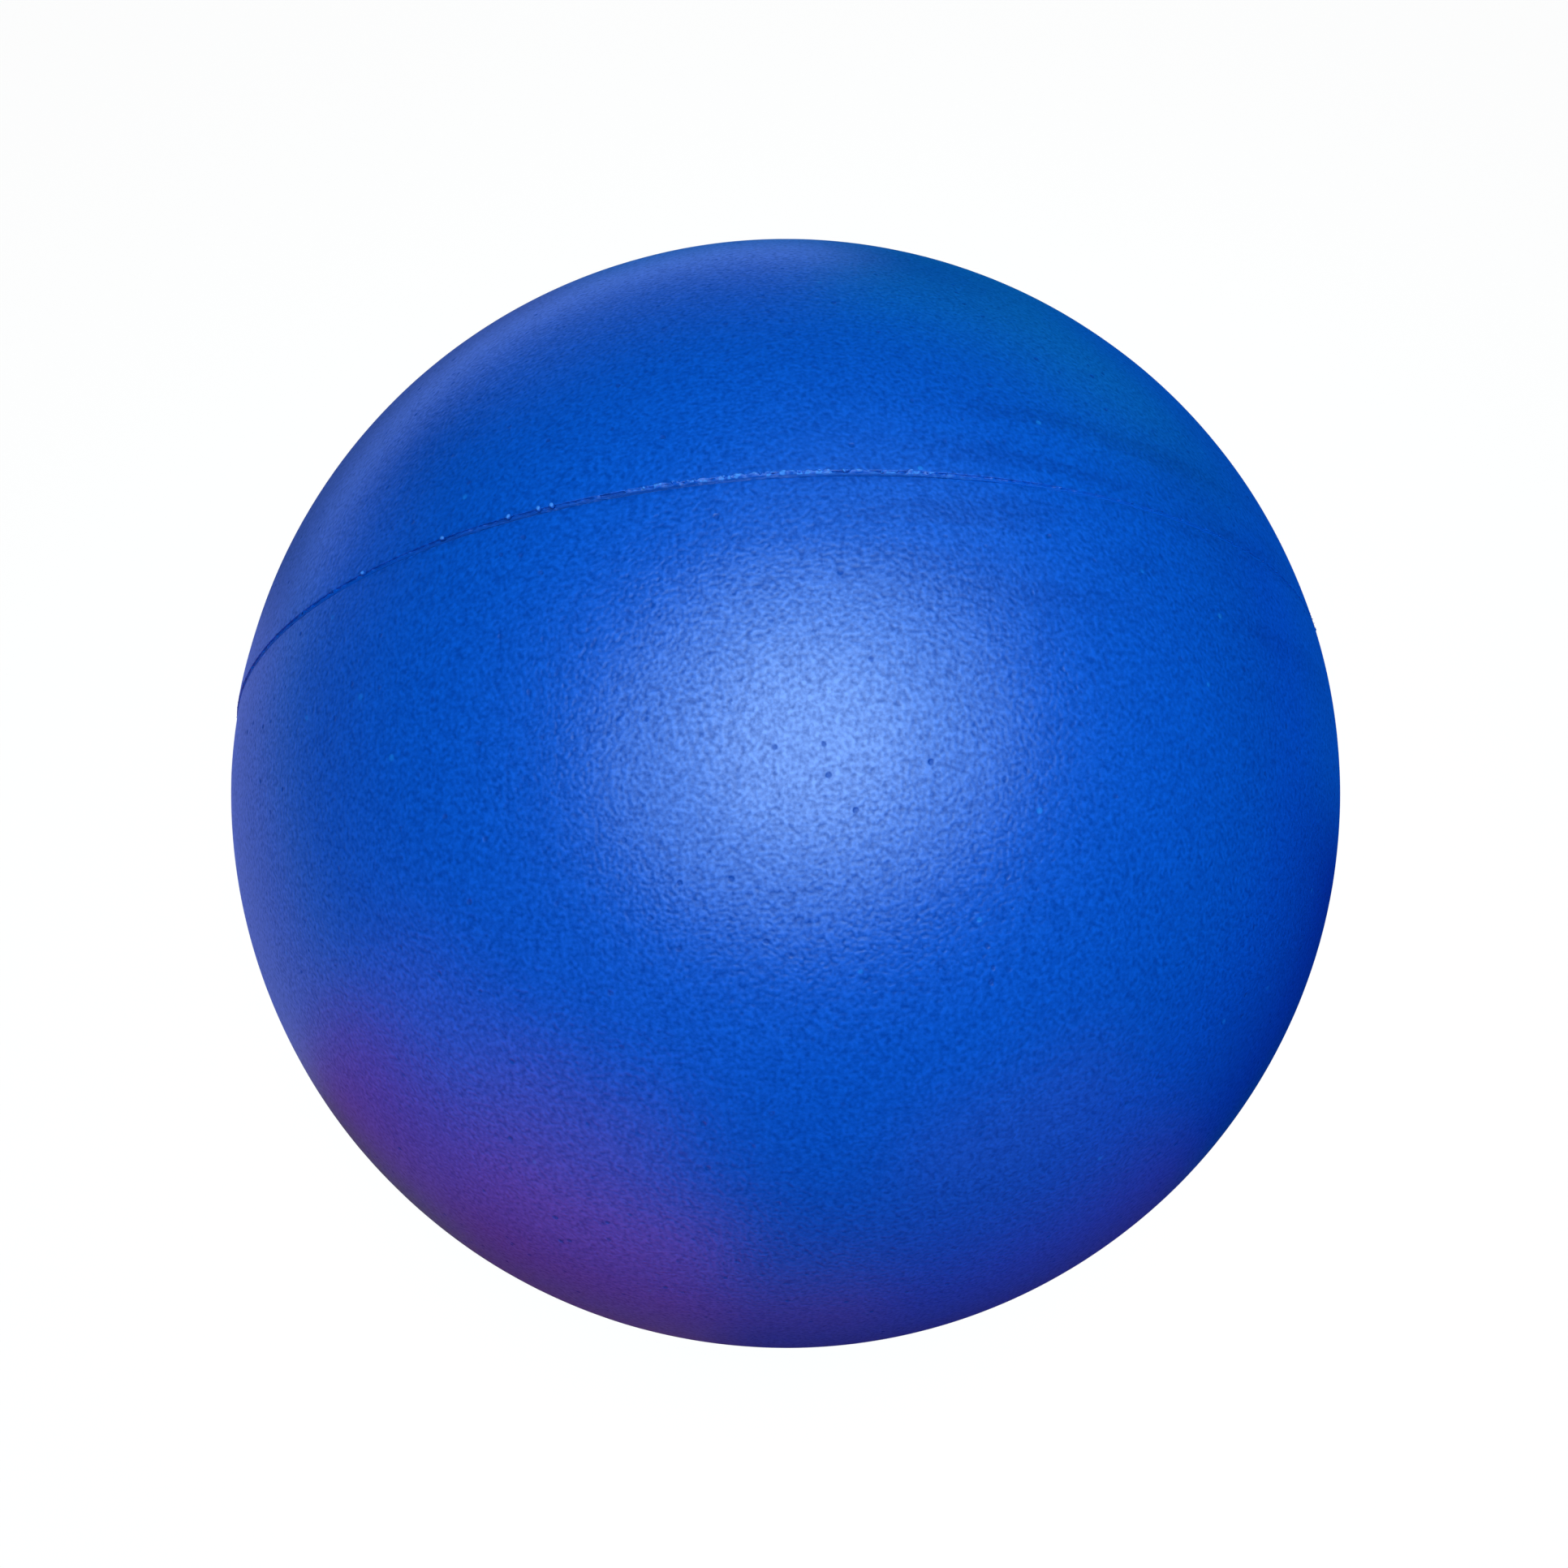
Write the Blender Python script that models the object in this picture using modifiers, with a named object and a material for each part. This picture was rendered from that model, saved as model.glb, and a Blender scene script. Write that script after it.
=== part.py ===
"""Lacrosse ball: a solid rubber core, two moulded cover halves and the trimmed flash ring between them.

The mould axis runs along +Y, so the parting line lies in the XZ plane, and the origin is the ball's centre.
"""

import math

import bmesh
import bpy

# Driving sizes, in metres.
BALL_DIAMETER = 0.0635
COVER_THICKNESS = 0.005
FIT_CLEARANCE = 0.0003

# The web of rubber squeezed out between the mould halves, and the low ridge left after trimming.
FLASH_THICKNESS = 0.0004
FLASH_HEIGHT = 0.00015

# The rims: a small rounded edge, and a band where the halves step past each other.
RIM_EDGE_RADIUS = 0.0003
RIM_BAND_WIDTH = 0.0032
FRONT_RIM_RISE = -0.00005
REAR_RIM_RISE = 0.00005

# Facets of the round surfaces.
TURNED_STEPS = 60
CROWN_STEPS = 13
BAND_STEPS = 5
EDGE_STEPS = 3
INNER_STEPS = 9
RIDGE_STEPS = 6
CORE_SEGMENTS = 40
CORE_RINGS = 20

# Fits that follow from the driving sizes.
BALL_RADIUS = BALL_DIAMETER / 2
COVER_INNER_RADIUS = BALL_RADIUS - COVER_THICKNESS
CORE_RADIUS = COVER_INNER_RADIUS - FIT_CLEARANCE
RING_INNER_RADIUS = CORE_RADIUS + FIT_CLEARANCE
RIM_HEIGHT = FLASH_THICKNESS / 2 + FIT_CLEARANCE

MERGE_DISTANCE = 0.00001
SHARP_ANGLE = math.radians(40)
QUARTER_TURN = math.pi / 2


def clear_scene():
    """Remove every object, so that the ball is all the file holds."""
    for old in list(bpy.data.objects):
        bpy.data.objects.remove(old, do_unlink=True)


def rubber(name, colour, roughness):
    """Make a plain rubber material of one colour."""
    material = bpy.data.materials.new(name)
    material.use_nodes = True
    shader = material.node_tree.nodes["Principled BSDF"]
    shader.inputs["Base Color"].default_value = (*colour, 1.0)
    shader.inputs["Roughness"].default_value = roughness
    shader.inputs["Metallic"].default_value = 0.0
    material.diffuse_color = (*colour, 1.0)
    return material


def spread(start, end, steps):
    """Evenly spaced values from start to end, both included."""
    return [start + (end - start) * i / steps for i in range(steps + 1)]


def smooth_step(value):
    """Ease from 0 to 1 with level ends."""
    value = min(max(value, 0.0), 1.0)
    return value * value * (3 - 2 * value)


def polar_point(radius, angle_from_axis):
    """A profile point (distance from the axis, height) on a sphere about the ball's centre."""
    return (radius * math.sin(angle_from_axis), radius * math.cos(angle_from_axis))


def outer_radius(angle_from_axis, rim_rise):
    """The cover's outer radius, which steps by the rim's rise across the band next to the parting line."""
    height = BALL_RADIUS * math.cos(angle_from_axis)
    share = smooth_step(1 - (height - RIM_HEIGHT) / RIM_BAND_WIDTH)
    return BALL_RADIUS + rim_rise * share


def cover_profile(rim_rise):
    """Half section of a cover: down the outside, round the rim's edge, across the rim and up the inside."""
    edge_height = RIM_HEIGHT + RIM_EDGE_RADIUS
    edge_reach = BALL_RADIUS + rim_rise - RIM_EDGE_RADIUS
    edge_centre = math.sqrt(edge_reach ** 2 - edge_height ** 2)
    edge_start = math.asin(edge_height / edge_reach)
    band_start = math.acos((RIM_HEIGHT + RIM_BAND_WIDTH) / BALL_RADIUS)
    band_end = QUARTER_TURN - edge_start
    inner_end = math.acos(RIM_HEIGHT / COVER_INNER_RADIUS)

    outer_angles = spread(0.0, band_start, CROWN_STEPS)
    outer_angles += spread(band_start, band_end, BAND_STEPS)[1:-1]
    points = [polar_point(outer_radius(angle, rim_rise), angle) for angle in outer_angles]
    for angle in spread(edge_start, -QUARTER_TURN, EDGE_STEPS):
        points.append((edge_centre + RIM_EDGE_RADIUS * math.cos(angle),
                       edge_height + RIM_EDGE_RADIUS * math.sin(angle)))
    points += [polar_point(COVER_INNER_RADIUS, angle) for angle in spread(inner_end, 0.0, INNER_STEPS)]
    return points


def flash_profile():
    """Section of the flash ring: a low round ridge outside, then the thin web in to the core."""
    half = FLASH_THICKNESS / 2
    points = [(BALL_RADIUS + FLASH_HEIGHT * math.sin(angle), half * math.cos(angle))
              for angle in spread(0.0, math.pi, RIDGE_STEPS)]
    points.append((RING_INNER_RADIUS, -half))
    points.append((RING_INNER_RADIUS, half))
    return points


def turned(name, profile, closed, material, collection):
    """Turn a profile about Z into a body; an open profile starts and ends on the axis."""
    mesh = bpy.data.meshes.new(name)
    vertices = [(reach, 0.0, height) for reach, height in profile]
    edges = [(i, i + 1) for i in range(len(profile) - 1)]
    if closed:
        edges.append((len(profile) - 1, 0))
    mesh.from_pydata(vertices, edges, [])
    mesh.materials.append(material)
    body = bpy.data.objects.new(name, mesh)
    collection.objects.link(body)
    screw = body.modifiers.new("turn", "SCREW")
    screw.axis = "Z"
    screw.angle = 2 * math.pi
    screw.steps = TURNED_STEPS
    screw.render_steps = TURNED_STEPS
    screw.use_merge_vertices = True
    screw.merge_threshold = MERGE_DISTANCE
    screw.use_smooth_shade = True
    return body


def solid_core(name, material, collection):
    """The solid rubber centre."""
    mesh = bpy.data.meshes.new(name)
    work = bmesh.new()
    bmesh.ops.create_uvsphere(work, u_segments=CORE_SEGMENTS, v_segments=CORE_RINGS, radius=CORE_RADIUS)
    work.to_mesh(mesh)
    work.free()
    mesh.materials.append(material)
    mesh.shade_smooth()
    body = bpy.data.objects.new(name, mesh)
    collection.objects.link(body)
    return body


def build_ball():
    """Build the four pieces on the mould axis, then lay that axis along +Y."""
    ball = bpy.data.collections.new("lacrosse_ball")
    bpy.context.scene.collection.children.link(ball)
    mould_axis = bpy.data.objects.new("mould_axis", None)
    mould_axis.rotation_euler = (-QUARTER_TURN, 0.0, 0.0)
    ball.objects.link(mould_axis)

    core = solid_core("core", rubber("core_rubber", (0.030, 0.031, 0.034), 0.8), ball)
    rear_cover = turned("rear_cover", cover_profile(REAR_RIM_RISE), False,
                        rubber("rear_cover_rubber", (0.003, 0.078, 0.520), 0.48), ball)
    front_cover = turned("front_cover", cover_profile(FRONT_RIM_RISE), False,
                         rubber("front_cover_rubber", (0.003, 0.078, 0.520), 0.48), ball)
    front_cover.rotation_euler = (math.pi, 0.0, 0.0)
    flash_ring = turned("flash_ring", flash_profile(), True,
                        rubber("flash_rubber", (0.010, 0.100, 0.560), 0.6), ball)
    for piece in (core, rear_cover, front_cover, flash_ring):
        piece.parent = mould_axis


clear_scene()
build_ball()
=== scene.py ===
"""Looks of a solid rubber lacrosse ball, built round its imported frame.

The ball's centre is the origin, the mould axis runs along +Y and +Z is up. The two cover halves meet in the
XZ plane, where the trimmed flash ring leaves a fine groove and a crumbly crest.
"""

from __future__ import annotations

import logging
import math
from dataclasses import dataclass
from enum import Enum
from typing import Dict, List, Optional, Sequence, Tuple, Union

import bmesh
import bpy
from bpy.types import ID, Material, Mesh, Node, NodeSocket, NodeTree, Object
from mathutils import Matrix, Vector

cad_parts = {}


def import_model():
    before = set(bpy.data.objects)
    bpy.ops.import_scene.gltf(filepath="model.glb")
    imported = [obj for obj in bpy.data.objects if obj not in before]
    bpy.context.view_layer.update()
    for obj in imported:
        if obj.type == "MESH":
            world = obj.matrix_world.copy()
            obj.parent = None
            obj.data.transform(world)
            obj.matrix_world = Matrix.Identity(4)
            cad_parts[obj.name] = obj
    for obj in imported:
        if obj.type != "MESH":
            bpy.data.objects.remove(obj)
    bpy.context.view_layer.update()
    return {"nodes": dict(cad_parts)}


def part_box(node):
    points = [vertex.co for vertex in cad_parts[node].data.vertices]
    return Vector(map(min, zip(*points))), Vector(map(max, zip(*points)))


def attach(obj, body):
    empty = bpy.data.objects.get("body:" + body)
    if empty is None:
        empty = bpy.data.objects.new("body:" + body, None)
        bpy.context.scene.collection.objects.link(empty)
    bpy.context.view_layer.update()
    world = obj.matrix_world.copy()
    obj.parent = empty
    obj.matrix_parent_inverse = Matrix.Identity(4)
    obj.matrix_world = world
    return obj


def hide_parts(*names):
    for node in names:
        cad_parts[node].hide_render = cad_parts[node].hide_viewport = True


LOG = logging.getLogger("lacrosse_ball")

Colour = Tuple[float, float, float]
Place = Tuple[float, float, float]
ProfilePoint = Tuple[float, float]
Span = Tuple[float, float]
Operand = Union["Wire", float, int, Sequence[float]]
Sockets = Dict[Union[int, str], object]

MM = 0.001
QUARTER_TURN = math.pi / 2
FULL_TURN = 2 * math.pi
WELD = 0.000001
FIT_CLEARANCE = 0.3 * MM
BAND_WIDTH = 3.2 * MM
STEP_END = 12.0 * MM
FAR_START = -11.0 * MM
FAR_END = -18.0 * MM
WHITE = (1.0, 1.0, 1.0, 1.0)
BLACK = (0.0, 0.0, 0.0)
GLOW = "glow"


@dataclass(frozen=True, eq=False)
class Wire:
    """One output of a node, with the operators that maths on values and vectors needs."""

    graph: Graph
    node: Node
    socket: NodeSocket

    def of(self, name: str) -> Wire:
        """Another output of the same node, by name."""
        return Wire(self.graph, self.node, self.node.outputs[name])

    @property
    def is_vector(self) -> bool:
        """Whether the socket carries a vector or a colour."""
        return self.socket.type in ("VECTOR", "RGBA")

    def _join(self, operation: str, left: Operand, right: Operand) -> Wire:
        """Add the Math or Vector Math node for one operator.

        Args:
            operation: The node's operation.
            left: The operand on the left.
            right: The operand on the right.

        Returns:
            The result's wire.
        """
        operands = (left, right)
        if not any(isinstance(part, Wire) and part.is_vector for part in operands):
            return self.graph.make("ShaderNodeMath", {0: left, 1: right}, operation=operation)
        vectors = [(part, part, part) if isinstance(part, (int, float)) else part for part in operands]
        return self.graph.make("ShaderNodeVectorMath", dict(enumerate(vectors)), operation=operation)

    def __add__(self, other: Operand) -> Wire:
        """self + other."""
        return self._join("ADD", self, other)

    __radd__ = __add__

    def __sub__(self, other: Operand) -> Wire:
        """self - other."""
        return self._join("SUBTRACT", self, other)

    def __rsub__(self, other: Operand) -> Wire:
        """other - self."""
        return self._join("SUBTRACT", other, self)

    def __mul__(self, other: Operand) -> Wire:
        """self * other."""
        return self._join("MULTIPLY", self, other)

    def __truediv__(self, other: Operand) -> Wire:
        """self / other."""
        return self._join("DIVIDE", self, other)


class Graph:
    """A node tree that grows by plain calls."""

    def __init__(self, tree: NodeTree) -> None:
        """Wrap a tree."""
        self.tree = tree

    def make(self, kind: str, sockets: Optional[Sockets] = None, out: Union[int, str] = 0,
             **settings: object) -> Wire:
        """Add one node.

        Args:
            kind: The node's type name.
            sockets: Values or wires for its inputs, by name or number.
            out: The output that the returned wire starts from.
            **settings: Properties of the node, set before its sockets.

        Returns:
            The wire of that output.
        """
        node = self.tree.nodes.new(kind)
        for name, value in settings.items():
            setattr(node, name, value)
        for key, value in (sockets or {}).items():
            self.feed(node.inputs[key], value)
        return Wire(self, node, node.outputs[out]) if node.outputs else Wire(self, node, None)

    def feed(self, socket: NodeSocket, value: object) -> None:
        """Link a wire to an input, or set the input's own value."""
        if isinstance(value, Wire):
            self.tree.links.new(value.socket, socket)
        else:
            socket.default_value = value

    def ease(self, value: Wire, low: float, high: float) -> Wire:
        """A smooth step: 0 at low and 1 at high, in either order."""
        sockets = {"Value": value, "From Min": low, "From Max": high}
        return self.make("ShaderNodeMapRange", sockets, interpolation_type="SMOOTHSTEP")

    def noise(self, place: Wire, size: float, detail: float = 1.0, out: str = "Fac") -> Wire:
        """Smooth noise, about 0.5 on average, with swells of a size: Fac is a value, Color a vector."""
        return self.make("ShaderNodeTexNoise", {"Vector": place, "Scale": 1 / size, "Detail": detail}, out)

    def far_left(self, side: Wire) -> Wire:
        """How far to the left a place is, where the parting line is faint, from 0 to 1."""
        return self.ease(side, FAR_START, FAR_END)

    def larger(self, first: Operand, second: Operand) -> Wire:
        """The larger of two values."""
        return self.make("ShaderNodeMath", {0: first, 1: second}, operation="MAXIMUM")

    def unsigned(self, value: Wire) -> Wire:
        """A value without its sign."""
        return self.make("ShaderNodeMath", {0: value}, operation="ABSOLUTE")

    def parts(self, place: Wire) -> Wire:
        """A vector taken apart: the wire's node gives X, Y and Z by name."""
        return self.make("ShaderNodeSeparateXYZ", {0: place})

    def length(self, place: Wire) -> Wire:
        """How long a vector is."""
        return self.make("ShaderNodeVectorMath", {0: place}, "Value", operation="LENGTH")

    def outward(self, place: Wire) -> Wire:
        """The direction from the origin to a place."""
        return self.make("ShaderNodeVectorMath", {0: place}, operation="NORMALIZE")

    def scaled(self, direction: Wire, amount: Operand) -> Wire:
        """A vector times a value."""
        return self.make("ShaderNodeVectorMath", {0: direction, "Scale": amount}, operation="SCALE")

    def shown(self) -> Wire:
        """1 for a ray that shows a thing to the camera, straight or in gloss, and 0 for one that lights."""
        path = self.make("ShaderNodeLightPath", out="Is Camera Ray")
        return path + path.of("Is Glossy Ray") + path.of("Is Transmission Ray")


class Skin(Graph):
    """A material's shader graph, round one Principled shader."""

    def __init__(self, name: str) -> None:
        """Start an empty material of that name."""
        self.material = bpy.data.materials.new(name)
        self.material.use_nodes = True
        super().__init__(self.material.node_tree)
        self.tree.nodes.clear()

    def object_place(self) -> Wire:
        """Coordinates fixed to the piece, in metres."""
        return self.make("ShaderNodeTexCoord", out="Object")

    def blend(self, share: Operand, first: Operand, second: Operand) -> Wire:
        """Mix two colours.

        Args:
            share: 0 gives the first colour, 1 the second.
            first: A colour or a wire.
            second: A colour or a wire.

        Returns:
            The mixed colour.
        """
        node = self.tree.nodes.new("ShaderNodeMix")
        node.data_type = "RGBA"
        for index, value in ((0, share), (6, first), (7, second)):
            if isinstance(value, tuple) and len(value) == 3:
                value = (*value, 1.0)
            self.feed(node.inputs[index], value)
        return Wire(self, node, node.outputs[2])

    def cells(self, place: Wire, spacing: float) -> Wire:
        """The distance to the nearest of many scattered points, as a share of their spacing."""
        return self.make("ShaderNodeTexVoronoi", {"Vector": place, "Scale": 1 / spacing}, "Distance")

    def bumped(self, height: Wire) -> Wire:
        """The normal over a relief whose height is in metres."""
        return self.make("ShaderNodeBump", {"Strength": 1.0, "Distance": 1.0, "Height": height})

    def finish(self, shader: Wire) -> Material:
        """Connect the last shader to the output and hand over the material."""
        self.make("ShaderNodeOutputMaterial", {"Surface": shader})
        return self.material


class ShapeTree(Graph):
    """A Geometry Nodes tree with named inputs."""

    def __init__(self, name: str) -> None:
        """Start a tree with one geometry in and one out."""
        super().__init__(bpy.data.node_groups.new(name, "GeometryNodeTree"))
        self.tree.interface.new_socket("Geometry", in_out="OUTPUT", socket_type="NodeSocketGeometry")
        self.tree.interface.new_socket("Section", in_out="INPUT", socket_type="NodeSocketGeometry")
        self.entry = self.tree.nodes.new("NodeGroupInput")
        self.values: Dict[str, object] = {}

    def given(self, name: str, value: object) -> Wire:
        """A named input of the tree.

        Args:
            name: The input's name.
            value: What the modifier sets it to: a whole number, a number or a material.

        Returns:
            The input's wire.
        """
        kinds = {int: "NodeSocketInt", float: "NodeSocketFloat"}
        kind = kinds.get(type(value), "NodeSocketMaterial")
        socket = self.tree.interface.new_socket(name, in_out="INPUT", socket_type=kind)
        self.values[socket.identifier] = value
        return Wire(self, self.entry, self.entry.outputs[name])

    def position(self) -> Wire:
        """Where each point is."""
        return self.make("GeometryNodeInputPosition")

    def moved(self, geometry: Wire, offset: Wire) -> Wire:
        """Shift the points of a geometry by a field."""
        return self.make("GeometryNodeSetPosition", {"Geometry": geometry, "Offset": offset})

    def thrown(self, low: Place, high: Place, seed: int) -> Wire:
        """A random vector for each point, between two corners."""
        sockets = {"Min": low, "Max": high, "Seed": seed}
        return self.make("FunctionNodeRandomValue", sockets, data_type="FLOAT_VECTOR")

    def turned(self, turn_count: int, row_count: int) -> Wire:
        """Turn the given section about the mould axis.

        Args:
            turn_count: How many steps go round.
            row_count: How many points the section has.

        Returns:
            The turned mesh, welded where it closes.
        """
        turns = self.given("Turns", turn_count)
        rows = self.given("Rows", row_count)
        grid = self.make("GeometryNodeMeshGrid", {
            "Size X": turns, "Size Y": rows - 1, "Vertices X": turns + 1, "Vertices Y": rows,
        })
        split = self.parts(self.position())
        angle = (split.of("X") / turns + 0.5) * FULL_TURN
        level = split.of("Y") + (rows - 1) / 2
        row = self.make("FunctionNodeFloatToInt", {0: level}, rounding_mode="ROUND")
        section = Wire(self, self.entry, self.entry.outputs["Section"])
        sockets = {"Geometry": section, "Value": self.position(), "Index": row}
        point = self.parts(self.make("GeometryNodeSampleIndex", sockets, data_type="FLOAT_VECTOR"))
        sine = self.make("ShaderNodeMath", {0: angle}, operation="SINE")
        cosine = self.make("ShaderNodeMath", {0: angle}, operation="COSINE")
        reach = point.of("X")
        place = self.make("ShaderNodeCombineXYZ", {0: reach * sine, 1: point.of("Y"), 2: reach * cosine})
        body = self.make("GeometryNodeSetPosition", {"Geometry": grid, "Position": place})
        return self.make("GeometryNodeMergeByDistance", {"Geometry": body, "Distance": WELD})

    def run(self, name: str, profile: Sequence[ProfilePoint], result: Wire, rubber: Material) -> Object:
        """End the tree, evaluate it on a section and keep the plain mesh.

        Args:
            name: The piece's name.
            profile: The section's points: distance from the mould axis, and height along it.
            result: The geometry to keep.
            rubber: Its finish.

        Returns:
            The finished object, at the origin, with outward faces.
        """
        real = self.make("GeometryNodeRealizeInstances", {0: result})
        skin = self.given("Material", rubber)
        dressed = self.make("GeometryNodeSetMaterial", {"Geometry": real, "Material": skin})
        self.make("NodeGroupOutput", {"Geometry": dressed})

        drawn = bpy.data.meshes.new(name + "_section")
        drawn.from_pydata([(reach, height, 0.0) for reach, height in profile], [], [])
        piece = placed(name, drawn)
        modifier = piece.modifiers.new(self.tree.name, "NODES")
        modifier.node_group = self.tree
        for identifier, value in self.values.items():
            modifier[identifier] = value
        bpy.context.view_layer.update()
        graph = bpy.context.evaluated_depsgraph_get()
        mesh = bpy.data.meshes.new_from_object(piece.evaluated_get(graph), depsgraph=graph)
        piece.modifiers.clear()
        piece.data = mesh
        mesh.name = name
        bpy.data.meshes.remove(drawn)
        if mesh.materials[0] is None:
            mesh.materials.pop(index=0)

        work = bmesh.new()
        work.from_mesh(mesh)
        bmesh.ops.recalc_face_normals(work, faces=work.faces)
        work.to_mesh(mesh)
        work.free()
        mesh.shade_smooth()
        return piece


@dataclass(frozen=True)
class CoverRubber:
    """Satin royal blue rubber: mottled grain with pits, flow marks by the parting line and a few specks, with
    painted shade in the pits and along the groove, and a band by the parting line painted lighter.

    Sizes are in metres, and the placed marks are in millimetres from the ball's centre. Values that end in
    shade, gloss or roughness say how much a feature changes that property. A span is where a pattern's step
    starts and ends, and a shift keeps two patterns apart.
    """

    light: Colour = (0.0004, 0.0945, 0.600)
    deep: Colour = (0.0002, 0.0490, 0.357)
    pale: Colour = (0.0120, 0.190, 0.700)
    roughness: float = 0.29
    specular: float = 0.32
    sheen_weight: float = 0.60
    sheen_roughness: float = 0.30
    pebble_size: float = 0.00015
    pebble_height: float = 0.000021
    mottle_size: float = 0.00019
    mottle_shift: float = 0.1
    mottle_detail: float = 2.0
    mottle_fineness: float = 0.65
    mottle_share: float = 1.2
    pebble_share: float = 0.8
    pit_spacing: float = 0.0008
    pit_depth: float = 0.000020
    pit_span: Span = (0.17, 0.06)
    pit_lots: Span = (0.30, 1.0)
    drift_size: float = 0.0045
    drift: float = 0.0006
    streak_size: float = 0.0011
    streak_height: float = 0.000010
    streak_shift: float = 0.2
    cloud_size: float = 0.011
    cloud_span: Span = (0.35, 0.75)
    flow_size: float = 0.0013
    flow_span: Span = (0.46, 0.66)
    flow_stretch: Place = (0.13, 1.0, 0.13)
    flow_reach: float = 0.0060
    flow_start: float = -0.002
    flow_end: float = 0.008
    band_width: float = BAND_WIDTH
    line_reach: float = 0.00038
    line_end: float = -0.006
    line_stop: float = 0.0065
    speck_spacing: float = 0.0026
    speck_span: Span = (0.05, 0.03)
    scuff_size: float = 0.00016
    middle_shade: float = 0.48
    grain_shade: float = 1.45
    painted_pit_shade_and_scuff_tone: float = 0.8
    cloud_shade: float = 0.05
    flow_shade: float = 0.30
    painted_band_light: float = 0.10
    painted_groove_shade: float = 0.20
    speck_shade: float = 0.6
    grain_gloss: float = 1.35
    pit_gloss: float = 0.85
    line_gloss: float = 0.20
    cloud_roughness: float = 0.05
    pit_roughness: float = 0.2
    far_fade: float = 0.8
    scuffs: Tuple[Place, ...] = ((-10.2, -23.0, 19.4), (-10.3, -24.0, 18.1), (-9.9, -23.9, 18.3))
    marks: Tuple[Place, ...] = (
        (-18.4, -4.7, 25.5), (-14.1, -7.4, 27.5), (-15.5, -4.9, 27.3), (15.8, -3.7, 27.3),
    )

    def material(self) -> Material:
        """Build the node material."""
        skin = Skin("cover_rubber")
        place = skin.object_place()
        loose = place + (skin.noise(place, self.drift_size, 1.0, "Color") - 0.5) * self.drift

        pebble = skin.noise(loose, self.pebble_size, 0.0) - 0.5
        mottle = skin.make("ShaderNodeTexNoise", {
            "Vector": loose + self.mottle_shift, "Scale": 1 / self.mottle_size,
            "Detail": self.mottle_detail, "Roughness": self.mottle_fineness,
        }) - 0.5
        grain = mottle * self.mottle_share + pebble * self.pebble_share
        cells = skin.cells(loose, self.pit_spacing)
        lot = skin.make("ShaderNodeSeparateColor", {0: cells.of("Color")}, "Red")
        pit = skin.ease(cells, *self.pit_span) * skin.ease(lot, *self.pit_lots)
        pit = pit + self.spots(skin, place, self.scuffs)
        streak = skin.noise(loose + self.streak_shift, self.streak_size) - 0.5
        height = pebble * self.pebble_height + streak * self.streak_height - pit * self.pit_depth

        cloud = skin.noise(place, self.cloud_size, 2.0)
        flow, line = self.flow_marks_and_painted_groove_shade(skin, place)
        # Painted shade: the pits are darkened where shade falls in them, and the scuffs added to them are
        # darker in their own tone.
        shade = self.middle_shade - grain * self.grain_shade + pit * self.painted_pit_shade_and_scuff_tone
        # The flow term holds real flow marks and a band painted lighter as painted light; the line term is
        # painted shade along the groove.
        shade = shade + skin.ease(cloud, *self.cloud_span) * self.cloud_shade + flow + line * self.painted_groove_shade
        motes = skin.cells(loose, self.speck_spacing)
        speck = skin.ease(motes, *self.speck_span) + self.spots(skin, place, self.marks)
        gloss = self.sheen_weight + grain * self.grain_gloss - pit * self.pit_gloss - line * self.line_gloss
        rubber = skin.blend(shade, self.light, self.deep)
        shader = skin.make("ShaderNodeBsdfPrincipled", {
            "Base Color": skin.blend(speck * self.speck_shade, rubber, self.pale),
            "Roughness": self.roughness + (cloud - 0.5) * self.cloud_roughness + pit * self.pit_roughness,
            "Specular IOR Level": self.specular,
            "Coat Weight": skin.make("ShaderNodeClamp", {"Value": gloss}),
            "Coat Roughness": self.sheen_roughness,
            "Normal": skin.bumped(height),
        })
        return skin.finish(shader)

    def flow_marks_and_painted_groove_shade(self, skin: Skin, place: Wire) -> Tuple[Wire, Wire]:
        """Soft flow marks along the parting line, a band over the stepped rims drawn lighter as painted
        light, and a line along the groove darkened as painted shade.

        Args:
            skin: The material's graph.
            place: The object coordinate.

        Returns:
            How much darker the flow marks are, less the painted light of the band, and the share of the
            painted shade along the groove at the parting.
        """
        split = skin.parts(place)
        side = split.of("X")
        aside = skin.unsigned(split.of("Y"))
        along = skin.noise(place * self.flow_stretch, self.flow_size, 1.0)
        near = skin.ease(aside, self.flow_reach, 0.4 * self.flow_reach)
        band = skin.ease(aside, 1.1 * self.band_width, 0.85 * self.band_width)
        reach = skin.ease(side, self.flow_start, self.flow_end)
        # Painted light: the band over the stepped rims is made lighter.
        flow = (skin.ease(along, *self.flow_span) * near * self.flow_shade - band * self.painted_band_light) * reach
        # Painted shade: a dark, dull line along the groove beside the parting line.
        line = skin.ease(aside, self.line_reach, 0.5 * self.line_reach)
        left = skin.ease(side, self.line_end, 1.8 * self.line_end)
        below = skin.ease(split.of("Y"), 0.0, -0.25 * self.line_reach)
        middle = below * skin.ease(side, self.line_stop, 0.7 * self.line_stop)
        far = skin.far_left(side)
        return flow, line * skin.larger(left, middle) * (1 - far * self.far_fade)

    def spots(self, skin: Skin, place: Wire, points: Sequence[Place]) -> Wire:
        """Small round spots at given points.

        Args:
            skin: The material's graph.
            place: The object coordinate.
            points: The spots' centres.

        Returns:
            1 in the middle of a spot, 0 away from all of them.
        """
        total: Operand = 0.0
        for point in points:
            centre = tuple(part * MM for part in point)
            away = skin.length(place - centre)
            total = skin.ease(away, self.scuff_size, 0.4 * self.scuff_size) + total
        return total


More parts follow.
